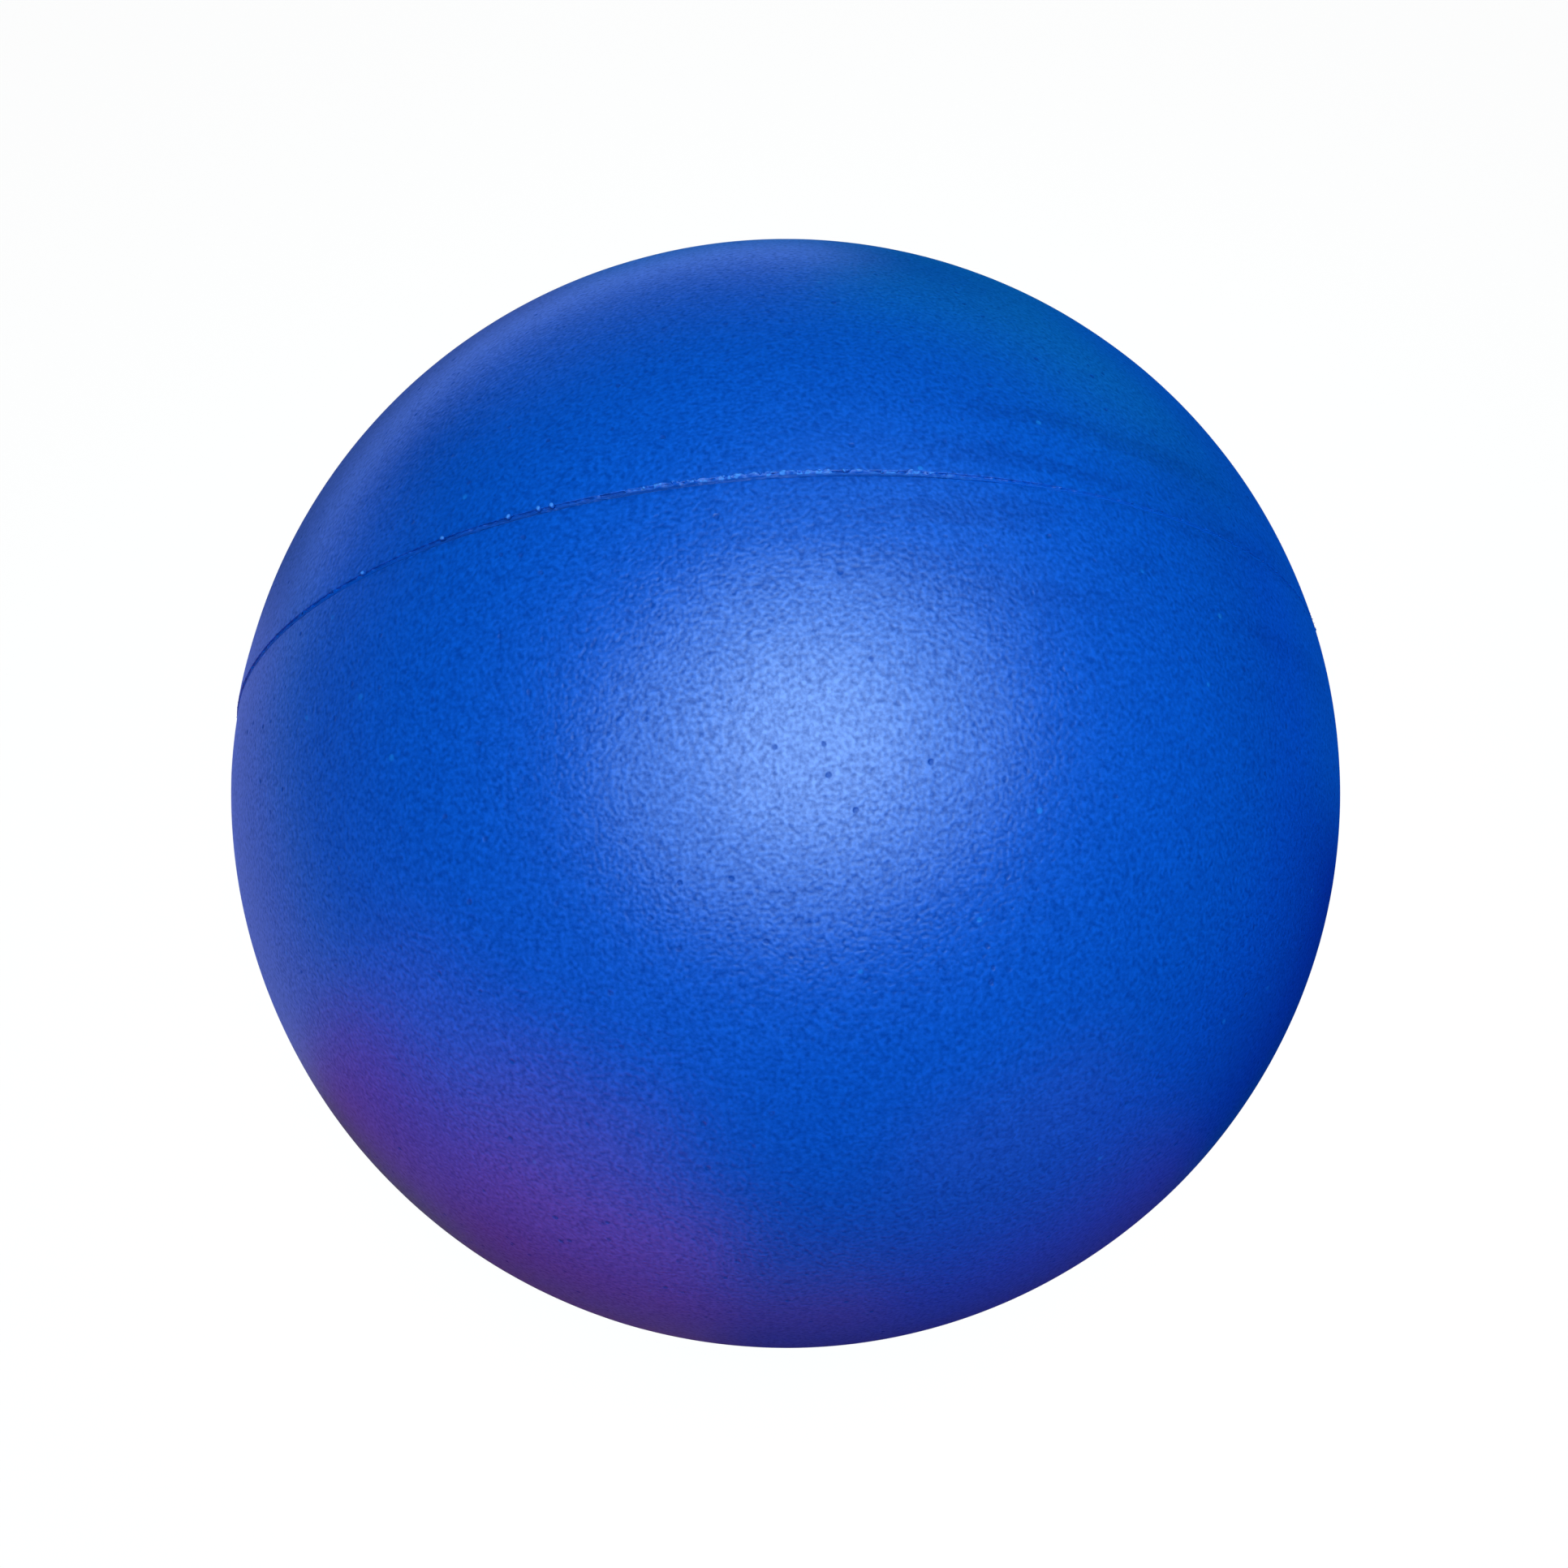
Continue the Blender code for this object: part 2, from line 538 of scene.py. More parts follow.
@dataclass(frozen=True)
class FlashRubber:
    """Trimmed blue rubber: paler where it was torn and on the crumbs and nubs, partly as a painted glint, and
    dull with painted shade down in the groove and along the left part.

    Sizes are in metres. The crest is kept near the middle, and far to the left the line is faint.
    """

    ball_radius: float
    colour: Colour = (0.0003, 0.073, 0.485)
    pale: Colour = (0.0480, 0.200, 0.700)
    deep: Colour = (0.0002, 0.052, 0.350)
    roughness: float = 0.36
    specular: float = 0.20
    sheen_weight: float = 0.45
    sheen_roughness: float = 0.30
    tear_size: float = 0.00024
    tear_height: float = 0.000024
    tear_span: Span = (0.38, 0.54)
    dot_size: float = 0.00016
    dot_shift: float = 0.03
    dot_span: Span = (0.48, 0.62)
    groove_depth: float = 0.00007
    kept_reach: float = 0.0058
    nub_height: float = 0.00006
    far_fade: float = 0.8
    left_shadow: float = 0.7
    shadow_gloss: float = 0.6
    least_gloss: float = 0.25
    torn_roughness: float = 0.2
    shadow_roughness: float = 0.2
    crumb_roughness: float = 0.3

    def material(self) -> Material:
        """Build the node material."""
        skin = Skin("flash_rubber")
        place = skin.object_place()
        torn = skin.noise(place, self.tear_size, 2.0)
        reach = skin.length(place)
        depth = skin.ease(self.ball_radius - reach, -0.2 * self.groove_depth, 0.6 * self.groove_depth)
        side = skin.parts(place).of("X")
        kept = skin.ease(skin.unsigned(side), 1.2 * self.kept_reach, 0.8 * self.kept_reach)
        dots = skin.ease(skin.noise(place + self.dot_shift, self.dot_size, 0.0), *self.dot_span)
        nub = skin.ease(reach - self.ball_radius, self.nub_height, 1.6 * self.nub_height)
        # The crumbs and nubs are paler: partly the paler torn rubber, partly a painted glint on the high
        # facets.
        crumbs = skin.ease(torn, *self.tear_span) * dots * kept
        pale_tear_and_painted_glint = skin.larger(crumbs, nub)
        left = skin.ease(side, -0.7 * self.kept_reach, -1.5 * self.kept_reach)
        open_part = skin.ease(side, 1.4 * self.kept_reach, 0.5 * self.kept_reach)
        far = skin.far_left(side)
        # Painted shade: the groove and the left part of the line are darkened and dulled.
        deepest = skin.larger(depth * open_part, left * (1 - nub) * self.left_shadow)
        shadow = deepest * (1 - far * self.far_fade)
        roughness = self.roughness + (torn - 0.5) * self.torn_roughness
        gloss = self.least_gloss + dots * (1 - self.least_gloss)
        shader = skin.make("ShaderNodeBsdfPrincipled", {
            "Base Color": skin.blend(shadow, skin.blend(pale_tear_and_painted_glint, self.colour, self.pale), self.deep),
            "Roughness": roughness + shadow * self.shadow_roughness + pale_tear_and_painted_glint * self.crumb_roughness,
            "Specular IOR Level": self.specular,
            "Coat Weight": (1 - shadow * self.shadow_gloss) * (1 - pale_tear_and_painted_glint) * gloss * self.sheen_weight,
            "Coat Roughness": self.sheen_roughness,
            "Normal": skin.bumped(torn * self.tear_height),
        })
        return skin.finish(shader)


@dataclass(frozen=True)
class CoreRubber:
    """Dull black rubber, roughened so that the cover bonds to it."""

    colour: Colour = (0.030, 0.031, 0.034)
    dust: Colour = (0.075, 0.076, 0.080)
    buff_size: float = 0.0009
    buff_height: float = 0.00012
    dust_span: Span = (0.45, 0.75)
    roughness: float = 0.74
    buff_roughness: float = 0.2

    def material(self) -> Material:
        """Build the node material."""
        skin = Skin("core_rubber")
        place = skin.object_place()
        buffed = skin.noise(place, self.buff_size, 3.0)
        shader = skin.make("ShaderNodeBsdfPrincipled", {
            "Base Color": skin.blend(skin.ease(buffed, *self.dust_span), self.colour, self.dust),
            "Roughness": self.roughness + buffed * self.buff_roughness,
            "Normal": skin.bumped(buffed * self.buff_height),
        })
        return skin.finish(shader)


@dataclass(frozen=True)
class FloorPaint:
    """A plain white studio floor, which keeps a soft shadow of the ball."""

    colour: Colour = (0.85, 0.85, 0.85)
    bounce: Colour = (0.0, 0.02, 0.73)
    glow_share: float = 0.85

    def material(self) -> Material:
        """Build the node material."""
        skin = Skin("floor_paint")
        seen = skin.shown()
        tint = skin.blend(seen, self.bounce, self.colour)
        paint = skin.make("ShaderNodeBsdfDiffuse", {"Color": tint})
        glow = skin.make("ShaderNodeEmission", {"Color": WHITE, "Strength": 1.0})
        mixed = skin.make("ShaderNodeMixShader", {0: seen * self.glow_share, 1: paint, 2: glow})
        return skin.finish(mixed)


@dataclass(frozen=True)
class CardGlow:
    """A lit gauze card, as bright at each point as its mesh's own glow attribute says."""

    colour: Colour

    def material(self) -> Material:
        """Build the node material."""
        skin = Skin("card_glow")
        share = skin.make("ShaderNodeAttribute", out="Fac", attribute_name=GLOW)
        tint = skin.blend(share, BLACK, self.colour)
        glow = skin.make("ShaderNodeEmission", {"Color": tint, "Strength": 1.0})
        gauze = skin.make("ShaderNodeBsdfTransparent")
        return skin.finish(skin.make("ShaderNodeAddShader", {0: gauze, 1: glow}))


@dataclass(frozen=True)
class DarkCloth:
    """Black cloth that gives back no light."""

    colour: Colour = BLACK

    def material(self) -> Material:
        """Build the node material."""
        skin = Skin("dark_cloth")
        return skin.finish(skin.make("ShaderNodeBsdfDiffuse", {"Color": (*self.colour, 1.0)}))


class Half(Enum):
    """The two halves of the cover, by the side of the parting line they are on."""

    FRONT = -1
    REAR = 1


def spread(start: float, end: float, steps: int) -> List[float]:
    """Evenly spaced values from start to end, both included, with that many steps between them."""
    return [start + (end - start) * i / steps for i in range(steps + 1)]


def smooth_step(value: float) -> float:
    """Ease from 0 to 1 with level ends."""
    value = min(max(value, 0.0), 1.0)
    return value * value * (3 - 2 * value)


@dataclass(frozen=True)
class Rim:
    """A half's edge at the parting line: how far it steps out, its rounding and its place beside the line."""

    rise: float
    edge_radius: float
    height: float


RIMS: Dict[Half, Rim] = {
    Half.FRONT: Rim(-0.03 * MM, 0.04 * MM, 0.11 * MM),
    Half.REAR: Rim(0.03 * MM, 0.015 * MM, 0.05 * MM),
}


@dataclass
class CoverHalf:
    """One moulded half of the cover, from its pole to the rounded rim at the parting line.

    Sizes are in metres.
    """

    half: Half
    ball_radius: float
    wall: float
    rim: Rim
    band_width: float = BAND_WIDTH
    crown_steps: int = 150
    band_steps: int = 26
    edge_steps: int = 8
    inner_steps: int = 16
    turns: int = 450
    peel_height: float = 0.009 * MM
    peel_size: float = 2.6 * MM
    swell_height: float = 0.028 * MM
    swell_size: float = 9.0 * MM
    skin_top: float = 0.1 * MM
    skin_depth: float = 0.6 * MM

    @property
    def node(self) -> str:
        """The CAD node that this half stands for."""
        return "front_cover" if self.half is Half.FRONT else "rear_cover"

    def outer_radius(self, angle: float) -> float:
        """The outer radius at an angle from the mould axis, with the step next to the parting line."""
        height = self.ball_radius * math.cos(angle)
        share = smooth_step(1 - (height - self.rim.height) / self.band_width)
        return self.ball_radius + self.rim.rise * share

    def profile(self) -> List[ProfilePoint]:
        """The half section.

        Returns:
            Points down the outside, round the rim's edge, across the rim and up the inside.
        """
        edge = self.rim.edge_radius
        edge_height = self.rim.height + edge
        edge_reach = self.ball_radius + self.rim.rise - edge
        edge_centre = math.sqrt(edge_reach ** 2 - edge_height ** 2)
        edge_start = math.asin(edge_height / edge_reach)
        band_start = math.acos((self.rim.height + self.band_width) / self.ball_radius)
        inner_radius = self.ball_radius - self.wall
        inner_end = math.acos(self.rim.height / inner_radius)

        angles = spread(0.0, band_start, self.crown_steps)
        angles += spread(band_start, QUARTER_TURN - edge_start, self.band_steps)[1:-1]
        points = [(self.outer_radius(a) * math.sin(a), self.outer_radius(a) * math.cos(a)) for a in angles]
        for a in spread(edge_start, -QUARTER_TURN, self.edge_steps):
            points.append((edge_centre + edge * math.cos(a), edge_height + edge * math.sin(a)))
        for a in spread(inner_end, 0.0, self.inner_steps):
            points.append((inner_radius * math.sin(a), inner_radius * math.cos(a)))
        side = self.half.value
        return [(reach, height * side) for reach, height in points]

    def build(self, rubber: Material) -> Object:
        """Turn the half and give its skin the soft relief of moulded rubber.

        Args:
            rubber: The cover's finish.

        Returns:
            The finished piece.
        """
        points = self.profile()
        tree = ShapeTree("turned_" + self.node)
        body = tree.turned(self.turns, len(points))
        peel_height = tree.given("Peel Height", self.peel_height)
        swell_height = tree.given("Swell Height", self.swell_height)

        place = tree.position()
        radius = self.ball_radius
        outside = tree.ease(tree.length(place), radius - self.skin_depth, radius - self.skin_top)
        peel = tree.noise(place, self.peel_size, 2.0) - 0.5
        swell = tree.noise(place, self.swell_size, 1.0) - 0.5
        split = tree.parts(place)
        aside = tree.unsigned(split.of("Y"))
        band = tree.ease(aside, self.rim.height + self.band_width, self.rim.height)
        faded = tree.ease(split.of("X"), 0.4 * STEP_END, STEP_END)
        rise = (peel * peel_height + swell * swell_height - band * faded * self.rim.rise) * outside
        offset = tree.scaled(tree.outward(place), rise)
        return tree.run(self.node + "_skin", points, tree.moved(body, offset), rubber)

    def dress(self, piece: Object) -> None:
        """Attach the piece to the root and hide the CAD node that it stands for."""
        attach(piece, "root")
        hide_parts(self.node)


@dataclass
class FlashRing:
    """The web of rubber between the halves, with the crumbly crest that trimming left.

    Sizes are in metres. Angles run round the mould axis from the top, in degrees.
    """

    ball_radius: float
    inner_radius: float
    front_face: float = 0.10 * MM
    rear_face: float = 0.04 * MM
    lip: float = 0.10 * MM
    crest_height: float = 0.055 * MM
    front_drop: float = 0.03 * MM
    brim_edge: float = 0.01 * MM
    web_depth: float = 0.45 * MM
    groove_blend: float = 0.2 * MM
    groove_depth: float = 0.07 * MM
    groove_start: float = -5.0 * MM
    groove_end: float = 3.0 * MM
    far_fill: float = 0.85
    turns: int = 4000
    crumb_size: float = 0.20 * MM
    crumb_height: float = 0.18 * MM
    groove_crumbs: float = 0.15
    gap_size: float = 0.45 * MM
    gap_depth: float = 0.08 * MM
    gap_shift: float = 0.05
    gap_span: Span = (0.55, 0.45)
    drift_shift: float = 0.09
    dash_shift: float = 0.13
    dash_span: Span = (0.52, 0.68)
    wander: float = 0.12 * MM
    kept_reach: float = 5.2 * MM
    worn_depth: float = 0.065 * MM
    nub_count: int = 260
    nub_size: float = 0.065 * MM
    worn_nub_shrink: float = 0.55
    throw_seed: int = 4
    spin_seed: int = 5
    shape_seed: int = 6
    placed_nubs: Tuple[float, ...] = (-29.6, -22.4, -17.4, -15.3, -14.4)
    placed_nub_size: float = 0.100 * MM

    def profile(self) -> List[ProfilePoint]:
        """The section: the web, the groove on the front side, and the ramp up to the crest.

        Returns:
            Points round the section, the first one repeated at the end.
        """
        radius = self.ball_radius
        front = -self.front_face
        rear = self.rear_face
        brim = radius - self.front_drop
        groove = brim - self.groove_depth
        deep = radius - self.web_depth
        crest = self.crest_height
        points = [
            (self.inner_radius, front),
            (deep, front),
            (brim - self.brim_edge, front),
            (brim - 0.70 * self.groove_depth, 0.96 * front),
            (groove, 0.84 * front),
            (groove + 0.35 * self.groove_depth, 0.64 * front),
            (groove + 0.70 * self.groove_depth, 0.48 * front),
            (brim + 0.20 * self.front_drop, 0.34 * front),
            (radius + 0.10 * crest, 0.08 * front),
            (radius + 0.50 * crest, 0.26 * self.lip),
            (radius + 0.85 * crest, 0.60 * self.lip),
            (radius + crest, 0.82 * self.lip),
            (radius + 0.90 * crest, 1.05 * self.lip),
            (radius + 0.40 * crest, 1.00 * self.lip),
            (radius - 0.60 * crest, rear),
            (deep, rear),
            (self.inner_radius, rear),
        ]
        return points + points[:1]

    def build(self, rubber: Material) -> Object:
        """Turn the ring, crumble its crest and strew the crumbs that stayed on it.

        Args:
            rubber: The ring's finish.

        Returns:
            The finished piece.
        """
        points = self.profile()
        tree = ShapeTree("turned_flash_ring")
        body = tree.turned(self.turns, len(points))
        crumb_height = tree.given("Crumb Height", self.crumb_height)
        gap_depth = tree.given("Gap Depth", self.gap_depth)
        groove_depth = tree.given("Groove Depth", self.groove_depth)
        worn_depth = tree.given("Worn Depth", self.worn_depth)
        wander = tree.given("Wander", self.wander)
        nub_count = tree.given("Nub Count", self.nub_count)
        nub_size = tree.given("Nub Size", self.nub_size)

        place = tree.position()
        reach = tree.length(place)
        brim = self.ball_radius - self.front_drop
        floor = brim - self.groove_depth
        crest = tree.ease(reach, brim, self.ball_radius + self.crest_height)
        groove = tree.ease(reach, brim, floor) * tree.ease(reach, floor - self.groove_blend, floor)
        crumb = tree.parts(tree.noise(place, self.crumb_size, 1.0, "Color") - 0.5)
        gap = tree.ease(tree.noise(place + self.gap_shift, self.gap_size), *self.gap_span)
        drift = tree.noise(place + self.drift_shift, 2 * self.gap_size) - 0.5
        side = tree.parts(place).of("X")
        worn = self.worn(tree, place)
        dashes = tree.ease(tree.noise(place + self.dash_shift, self.gap_size), *self.dash_span)
        far = tree.far_left(side)
        filled = tree.larger(tree.ease(side, self.groove_start, self.groove_end), dashes)
        filled = tree.larger(filled, far * self.far_fill)
        rough = crumb.of("X") * crumb_height * (crest + groove * self.groove_crumbs)
        faded = tree.ease(side, 0.4 * STEP_END, STEP_END)
        level = faded * tree.ease(reach, floor, brim) * (1 - crest)
        rise = rough - (gap * gap_depth + worn * worn_depth) * crest + groove * filled * groove_depth
        rise = rise + level * self.front_drop
        aside = tree.make("ShaderNodeCombineXYZ", {1: (crumb.of("Y") + drift) * wander * crest})
        ring = tree.moved(body, tree.scaled(tree.outward(place), rise) + aside)
        lumps = [ring, self.strewn(tree, nub_count, nub_size)]
        lumps += [self.lump(tree, angle) for angle in self.placed_nubs]
        whole = tree.make("GeometryNodeJoinGeometry")
        for lump in lumps:
            tree.feed(whole.node.inputs["Geometry"], lump)
        return tree.run("flash_ring_crest", points, whole, rubber)

    def worn(self, tree: ShapeTree, place: Wire) -> Wire:
        """How far the crest is worn down at a place: 0 in the middle, 1 at both sides."""
        across = tree.unsigned(tree.parts(place).of("X"))
        return tree.ease(across, 0.7 * self.kept_reach, 1.3 * self.kept_reach)

    def strewn(self, tree: ShapeTree, count: Wire, size: Wire) -> Wire:
        """Small crumbs at even steps round the crest, each with a size, a turn and a place of its own.

        Args:
            tree: The ring's tree.
            count: How many crumbs there are.
            size: The radius of the largest crumb.

        Returns:
            The crumbs.
        """
        reach = self.ball_radius + 0.4 * self.crest_height
        circle = tree.make("GeometryNodeMeshCircle", {"Vertices": count, "Radius": reach})
        upright = (QUARTER_TURN, 0.0, 0.0)
        laid = tree.make("GeometryNodeTransform", {"Geometry": circle, "Rotation": upright})
        throw = tree.thrown((-0.45, 0.0, -0.45), (0.45, 0.10, 0.45), self.throw_seed)
        loose = tree.moved(laid, tree.scaled(throw, MM))
        onto = tree.scaled(tree.outward(tree.position()), reach)
        seated = tree.make("GeometryNodeSetPosition", {"Geometry": loose, "Position": onto})
        grain = tree.make("GeometryNodeMeshIcoSphere", {"Radius": size, "Subdivisions": 2})
        spin = tree.thrown((0.0, 0.0, 0.0), (FULL_TURN, FULL_TURN, FULL_TURN), self.spin_seed)
        shape = tree.thrown((0.4, 0.4, 0.4), (1.0, 1.3, 1.0), self.shape_seed)
        stretch = tree.scaled(shape, 1 - self.worn(tree, tree.position()) * self.worn_nub_shrink)
        sockets = {"Points": seated, "Instance": grain, "Rotation": spin, "Scale": stretch}
        return tree.make("GeometryNodeInstanceOnPoints", sockets)

    def lump(self, tree: ShapeTree, angle: float) -> Wire:
        """One larger crumb on the crest.

        Args:
            tree: The ring's tree.
            angle: Where it is, round the mould axis from the top.

        Returns:
            The crumb.
        """
        turn = math.radians(angle)
        reach = self.ball_radius + 0.6 * self.crest_height
        grain = tree.make("GeometryNodeMeshIcoSphere", {"Radius": self.placed_nub_size, "Subdivisions": 3})
        return tree.make("GeometryNodeTransform", {
            "Geometry": grain,
            "Translation": (reach * math.sin(turn), self.rear_face, reach * math.cos(turn)),
            "Rotation": (0.0, turn, 0.3 * angle),
            "Scale": (1.1, 0.9, 0.8),
        })

    def dress(self, piece: Object) -> None:
        """Attach the piece to the root and hide the CAD node that it stands for."""
        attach(piece, "root")
        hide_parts("flash_ring")


def placed(name: str, data: ID) -> Object:
    """A new object in the scene, at the origin.

    Args:
        name: The object's name.
        data: Its mesh, lamp or camera.

    Returns:
        The object.
    """
    thing = bpy.data.objects.new(name, data)
    bpy.context.scene.collection.objects.link(thing)
    return thing


def sight(azimuth: float, elevation: float) -> Vector:
    """The direction from the ball to an onlooker.

    Args:
        azimuth: Degrees round from the front, -Y, towards +X.
        elevation: Degrees above the floor.

    Returns:
        A unit vector.
    """
    turn = math.radians(azimuth)
    lift = math.radians(elevation)
    return Vector((math.sin(turn) * math.cos(lift), -math.cos(turn) * math.cos(lift), math.sin(lift)))


@dataclass(frozen=True)
class SoftLamp:
    """A round or oval softbox aimed at the ball's centre. Angles are in degrees, as for a camera."""

    name: str
    azimuth: float
    elevation: float
    distance: float
    width: float
    depth: float
    level: float
    colour: Colour = (1.0, 1.0, 1.0)

    def build(self) -> Object:
        """Place the lamp.

        Returns:
            The lamp, whose level is the share of a white card's brightness that it adds, face on.
        """
        data = bpy.data.lights.new(self.name, "AREA")
        data.shape = "ELLIPSE"
        data.size = self.width
        data.size_y = self.depth
        data.energy = self.level * (math.pi * self.distance) ** 2
        data.color = self.colour
        lamp = placed(self.name, data)
        back = sight(self.azimuth, self.elevation)
        lamp.location = back * self.distance
        lamp.rotation_euler = back.to_track_quat("Z", "Y").to_euler()
        lamp.visible_camera = False
        return lamp


@dataclass(frozen=True)
class StudioCard:
    """A soft-edged coloured card by the ball, lying or standing, that only the ball's gloss shows.

    Reaches and the rise are in ball radii, and angles in degrees, as for a camera. Cards that share an edge
    fade into each other.
    """

    name: str
    near: float
    far: float
    start: float
    end: float
    colour: Colour
    rise: float = 0.0
    side_fade: float = 6.0
    edge_fade: float = 0.12
    columns: int = 24
    rows: int = 10

    def glow(self, angle: float, reach: float, lift: float) -> float:
        """How bright the card is at a point, from 0 to 1.

        Args:
            angle: The point's angle, in degrees.
            reach: Its distance from the ball's axis.
            lift: Its height over the floor.

        Returns:
            The share of the card's colour.
        """
        share = smooth_step(0.5 + (angle - self.start) / (2 * self.side_fade))
        share *= smooth_step(0.5 + (self.end - angle) / (2 * self.side_fade))
        if self.rise:
            return share * smooth_step(0.5 + (self.rise - lift) / (2 * self.edge_fade * self.rise))
        share *= smooth_step(0.5 + (reach / self.near - 1) / (2 * self.edge_fade))
        return share * smooth_step(0.5 + (1 - reach / self.far) / (2 * self.edge_fade))

    def build(self, ball_radius: float, height: float) -> Object:
        """Set up the card.

        Args:
            ball_radius: The ball's radius, in metres.
            height: The height of the card's lower edge.

        Returns:
            The card.
        """
        near = self.near if self.rise else self.near * (1 - self.edge_fade)
        far = self.far if self.rise else self.far * (1 + self.edge_fade)
        top = self.rise * (1 + self.edge_fade)
        points = []
        shares = []
        for angle in spread(self.start - self.side_fade, self.end + self.side_fade, self.columns):
            outward = sight(angle, 0.0)
            for step in spread(0.0, 1.0, self.rows):
                reach = near * (far / near) ** step
                lift = top * step
                place = outward * reach * ball_radius
                points.append((place.x, place.y, height + lift * ball_radius))
                shares.append(self.glow(angle, reach, lift))
        row = self.rows + 1
        corners = [i * row + j for i in range(self.columns) for j in range(self.rows)]
        mesh = bpy.data.meshes.new(self.name)
        mesh.from_pydata(points, [], [(k, k + 1, k + 1 + row, k + row) for k in corners])
        mesh.attributes.new(GLOW, "FLOAT", "POINT").data.foreach_set("value", shares)
        return glossy_only(self.name, mesh, CardGlow(self.colour).material())


CARDS: Tuple[StudioCard, ...] = tuple(StudioCard(name + "_card", *row) for name, *row in (
    ("red_left_near", 1.15, 2.2, -75.0, -45.0, (0.11, 0.10, 0.05)),
    ("red_left", 2.2, 3.8, -70.0, -45.0, (0.26, 0.045, 0.24)),
    ("red_left_far", 3.8, 9.0, -70.0, -45.0, (0.41, 0.0, 0.16)),
    ("red_left_wall", 9.0, 9.0, -70.0, -45.0, (0.22, 0.185, 0.93), 3.2),
    ("red_front_near", 1.15, 2.2, -45.0, -12.0, (0.11, 0.05, 0.11)),
    ("red_front", 2.2, 3.8, -45.0, -12.0, (0.27, 0.0, 0.0)),
    ("red_front_far", 3.8, 9.0, -45.0, -12.0, (0.74, 0.0, 0.0)),
    ("red_front_wall", 9.0, 9.0, -48.0, -21.0, (0.55, 0.0, 0.0), 3.2),
    ("front_near", 1.15, 2.2, -12.0, 48.0, (0.028, 0.02, 0.15)),
    ("front", 2.2, 3.8, -12.0, 8.0, (0.15, 0.0, 0.0)),
    ("front_far", 3.8, 9.0, -12.0, 8.0, (0.05, 0.0, 0.0)),
    ("front_right", 2.2, 6.0, 8.0, 48.0, (0.05, 0.0, 0.25)),
    ("rose_wall", 9.0, 9.0, 12.0, 45.0, (0.125, 0.0, 0.0), 2.6),
    ("left", 1.8, 6.0, -120.0, -70.0, (0.16, 0.22, 0.715)),
    ("left_far", 6.0, 9.0, -120.0, -70.0, (0.095, 0.32, 0.75)),
    ("left_wall", 9.0, 9.0, -130.0, -70.0, (0.03, 0.085, 0.37), 3.8),
    ("rear_left_far", 6.0, 9.0, -189.0, -120.0, (0.36, 0.63, 1.90)),
    ("rear_left", 2.2, 6.0, -165.0, -120.0, (0.05, 0.09, 0.30)),
    ("rear_wall", 9.0, 9.0, 172.0, 215.0, (0.04, 0.11, 0.42), 3.8),
    ("rear", 1.8, 6.0, 150.0, 195.0, (0.0, 0.13, 0.42)),
    ("rear_far", 6.0, 9.0, 156.0, 171.0, (0.0, 0.0, 0.18)),
    ("rear_right_far", 6.0, 9.0, 120.0, 156.0, (0.0, 0.175, 0.365)),
    ("teal_wall", 9.0, 9.0, 130.0, 172.0, (0.005, 0.205, 0.32), 3.8),
    ("right_near", 1.15, 2.0, 48.0, 95.0, (0.0, 0.05, 0.14)),
    ("right", 2.0, 6.0, 48.0, 90.0, (0.0, 0.0, 0.255)),
    ("right_far", 6.0, 9.0, 34.0, 120.0, (0.0, 0.0, 0.835)),
    ("rear_right", 1.8, 6.0, 90.0, 150.0, (0.0, 0.083, 0.54)),
))


def glossy_only(name: str, mesh: Mesh, finish: Material) -> Object:
    """A piece of the studio that shows only in the ball's gloss.

    Args:
        name: The object's name.
        mesh: Its mesh.
        finish: Its material.

    Returns:
        The object, hidden from the camera, from diffuse and transmission rays and from shadows.
    """
    mesh.materials.append(finish)
    thing = placed(name, mesh)
    thing.visible_camera = False
    thing.visible_diffuse = False
    thing.visible_transmission = False
    thing.visible_shadow = False
    return thing


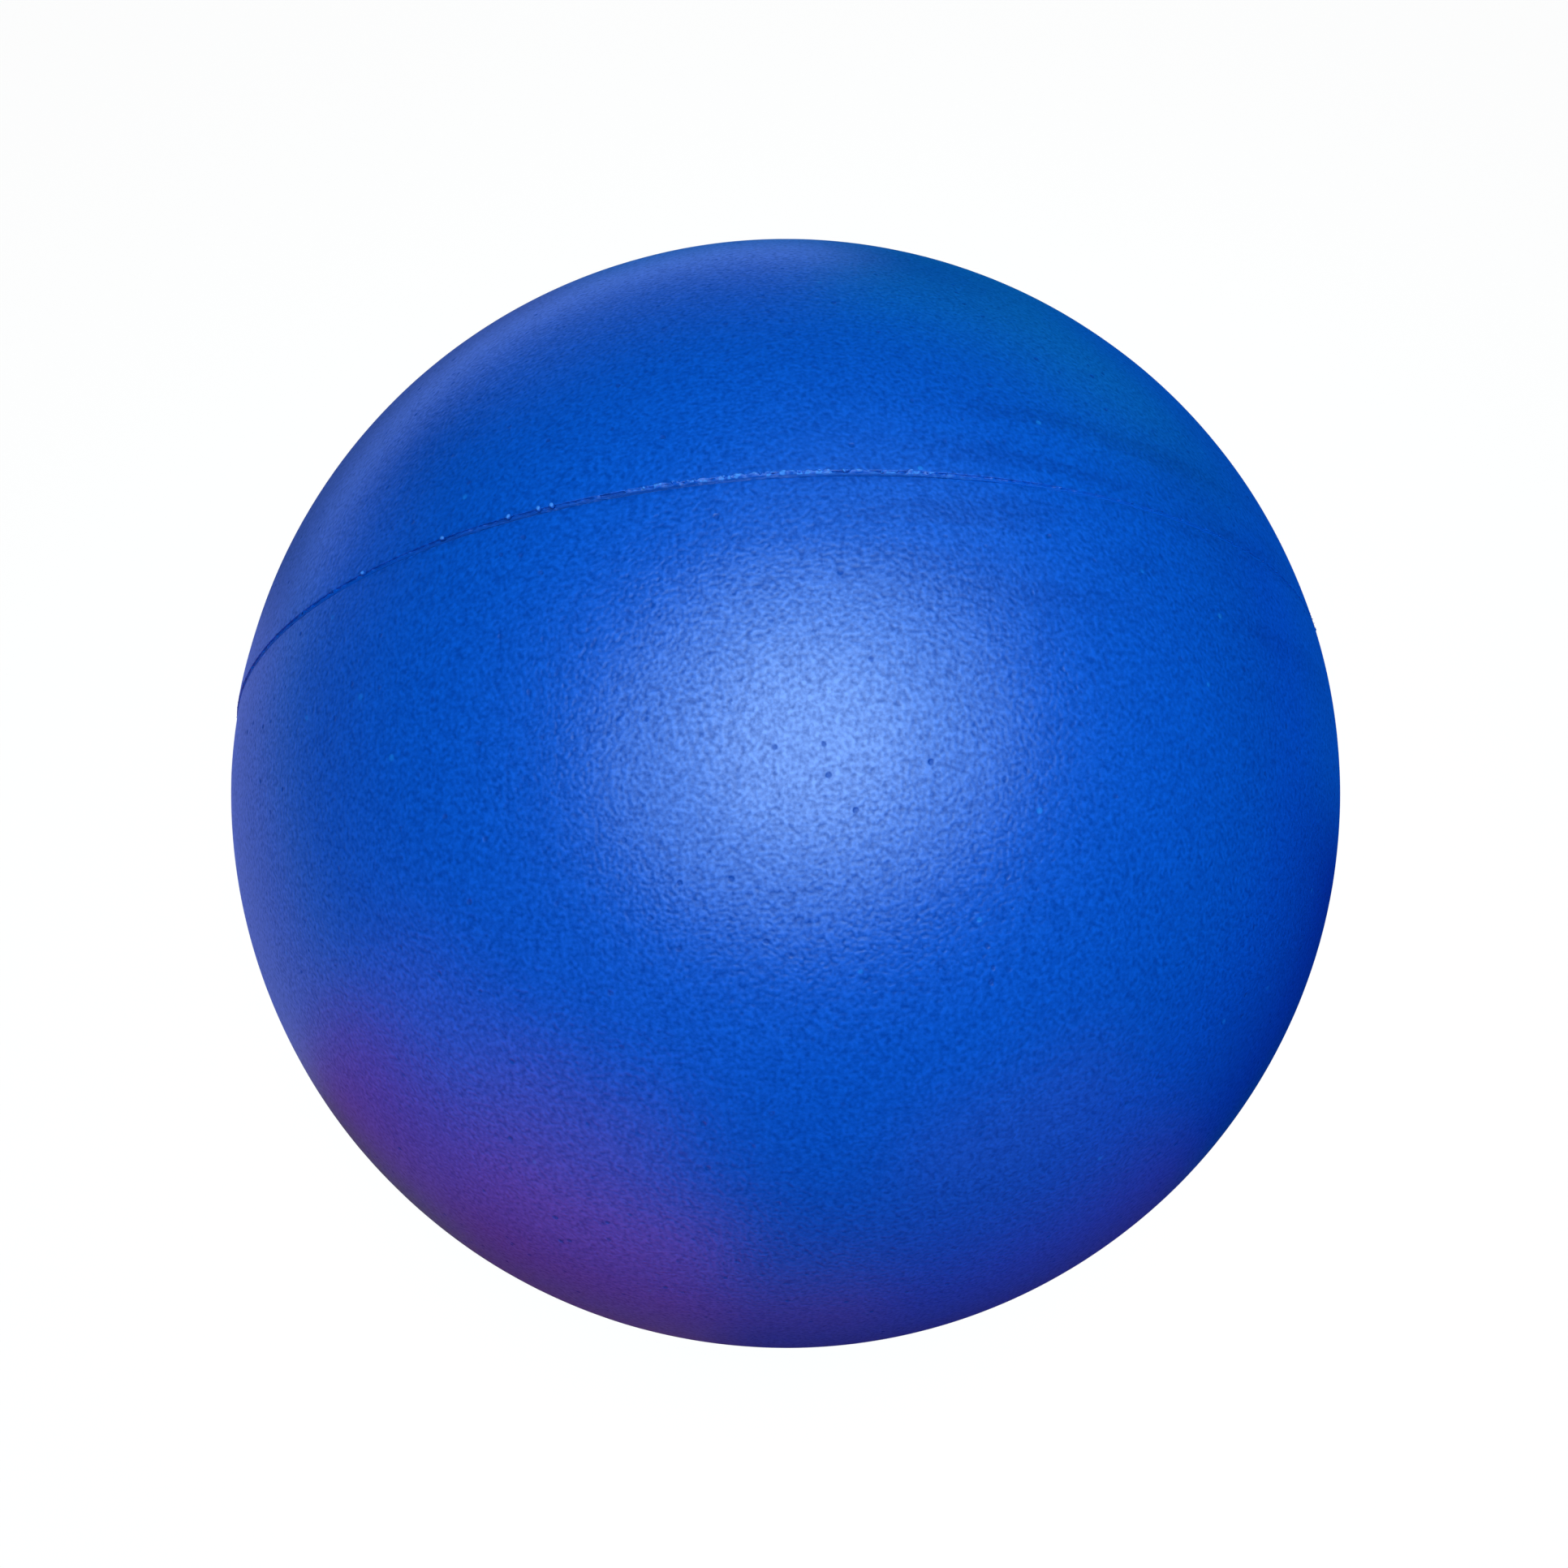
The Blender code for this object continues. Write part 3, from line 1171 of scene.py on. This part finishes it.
@dataclass
class Studio:
    """The white floor and backdrop, the softboxes, and the tent and cards that the ball's gloss shows.

    Sizes are in metres. The cards lie over each other in thin steps, above the tent's cloth.
    """

    ball_radius: float
    floor_height: float
    floor_radius: float = 3.0
    floor_segments: int = 96
    tent_radius: float = 0.30
    tent_segments: int = 48
    cloth_lift: float = 0.2 * MM
    card_lift: float = 0.4 * MM
    card_step: float = 0.02 * MM
    softboxes: Tuple[SoftLamp, ...] = (
        SoftLamp("key_softbox", 13.5, 77.9, 0.10, 0.117, 0.100, 0.74, (0.60, 0.960, 1.0)),
        SoftLamp("key_heart", 13.5, 77.9, 0.099, 0.050, 0.050, 0.266, (0.60, 0.82, 0.90)),
        SoftLamp("key_brow", 134.0, 72.8, 0.10, 0.090, 0.090, 0.045, (0.55, 1.0, 0.15)),
    )
    floor_lamp: SoftLamp = SoftLamp("floor_softbox", 0.0, 90.0, 1.5, 1.6, 1.6, 1.25)
    cards: Tuple[StudioCard, ...] = CARDS

    def build(self) -> None:
        """Make the floor, the lamps, the tent, the cards and the backdrop."""
        work = bmesh.new()
        bmesh.ops.create_circle(work, cap_ends=True, segments=self.floor_segments, radius=self.floor_radius)
        mesh = bpy.data.meshes.new("floor")
        work.to_mesh(mesh)
        work.free()
        mesh.transform(Matrix.Translation((0.0, 0.0, self.floor_height)))
        paint = FloorPaint().material()
        paint.cycles.emission_sampling = "NONE"
        mesh.materials.append(paint)
        floor = placed("floor", mesh)

        for softbox in self.softboxes:
            softbox.build()
        lamp = self.floor_lamp.build()
        lit = bpy.data.collections.new("floor_only")
        lit.objects.link(floor)
        lamp.light_linking.receiver_collection = lit
        self.tent()
        for index, card in enumerate(self.cards):
            card.build(self.ball_radius, self.floor_height + self.card_lift + index * self.card_step)
        self.backdrop()

    def tent(self) -> None:
        """Black cloth round and under the ball, so that its gloss shows a dark room and not the white set."""
        work = bmesh.new()
        bmesh.ops.create_uvsphere(work, u_segments=self.tent_segments, v_segments=self.tent_segments // 2,
                                  radius=self.tent_radius)
        mesh = bpy.data.meshes.new("dark_tent")
        work.to_mesh(mesh)
        work.free()
        level = self.floor_height + self.cloth_lift
        for vertex in mesh.vertices:
            vertex.co.z = max(vertex.co.z, level)
        glossy_only("dark_tent", mesh, DarkCloth().material())

    def backdrop(self) -> None:
        """A white backdrop behind everything, which adds no light to the ball."""
        world = bpy.data.worlds.new("backdrop")
        world.use_nodes = True
        bpy.context.scene.world = world
        graph = Graph(world.node_tree)
        graph.tree.nodes.clear()
        white = graph.make("ShaderNodeBackground", {"Color": WHITE, "Strength": graph.shown()})
        graph.make("ShaderNodeOutputWorld", {"Surface": white})
        world.cycles.sampling_method = "NONE"


@dataclass
class PhotoCamera:
    """The photograph's viewpoint: its angles in degrees, its distance in ball radii, its frame in pixels."""

    azimuth: float = -3.84
    elevation: float = 70.7
    reach: float = 1.81
    frame_side: float = 1932.0
    ball_x: float = 968.1
    ball_y: float = 977.6
    ball_reach: float = 683.3
    sensor: float = 36.0
    nearest: float = 0.005

    def build(self, ball_radius: float) -> Object:
        """Place the camera so that the ball fills the same circle as in the photograph.

        Args:
            ball_radius: The ball's radius, in metres.

        Returns:
            The camera.
        """
        data = bpy.data.cameras.new("photo_camera")
        focal_pixels = self.ball_reach * math.sqrt(self.reach ** 2 - 1)
        data.sensor_width = self.sensor
        data.lens = self.sensor * focal_pixels / self.frame_side
        data.shift_x = (self.frame_side / 2 - self.ball_x) / self.frame_side
        data.shift_y = (self.ball_y - self.frame_side / 2) / self.frame_side
        data.clip_start = self.nearest
        camera = placed("photo_camera", data)
        back = sight(self.azimuth, self.elevation)
        camera.location = back * self.reach * ball_radius
        camera.rotation_euler = back.to_track_quat("Z", "Y").to_euler()
        bpy.context.scene.camera = camera
        return camera


def main() -> None:
    """Build the camera, the ball's pieces and the studio in order."""
    logging.basicConfig(level=logging.INFO, format="%(name)s: %(message)s")
    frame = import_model()
    bpy.context.scene.view_settings.view_transform = "Standard"

    front_low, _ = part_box("front_cover")
    _, core_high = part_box("core")
    ring_low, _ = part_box("flash_ring")
    ball_radius = -front_low.y
    wall = ball_radius - core_high.x - FIT_CLEARANCE

    PhotoCamera().build(ball_radius)
    rubber = CoverRubber().material()
    parts = [(CoverHalf(half, ball_radius, wall, RIMS[half]), rubber) for half in Half]
    parts.append((FlashRing(ball_radius, ball_radius - wall), FlashRubber(ball_radius).material()))
    for part, finish in parts:
        piece = part.build(finish)
        part.dress(piece)
        LOG.info("%s: %d faces", piece.name, len(piece.data.polygons))
    core_slots = frame["nodes"]["core"].data.materials
    core_slots.clear()
    core_slots.append(CoreRubber().material())
    Studio(ball_radius, ring_low.z).build()


if __name__ == "__main__":
    main()
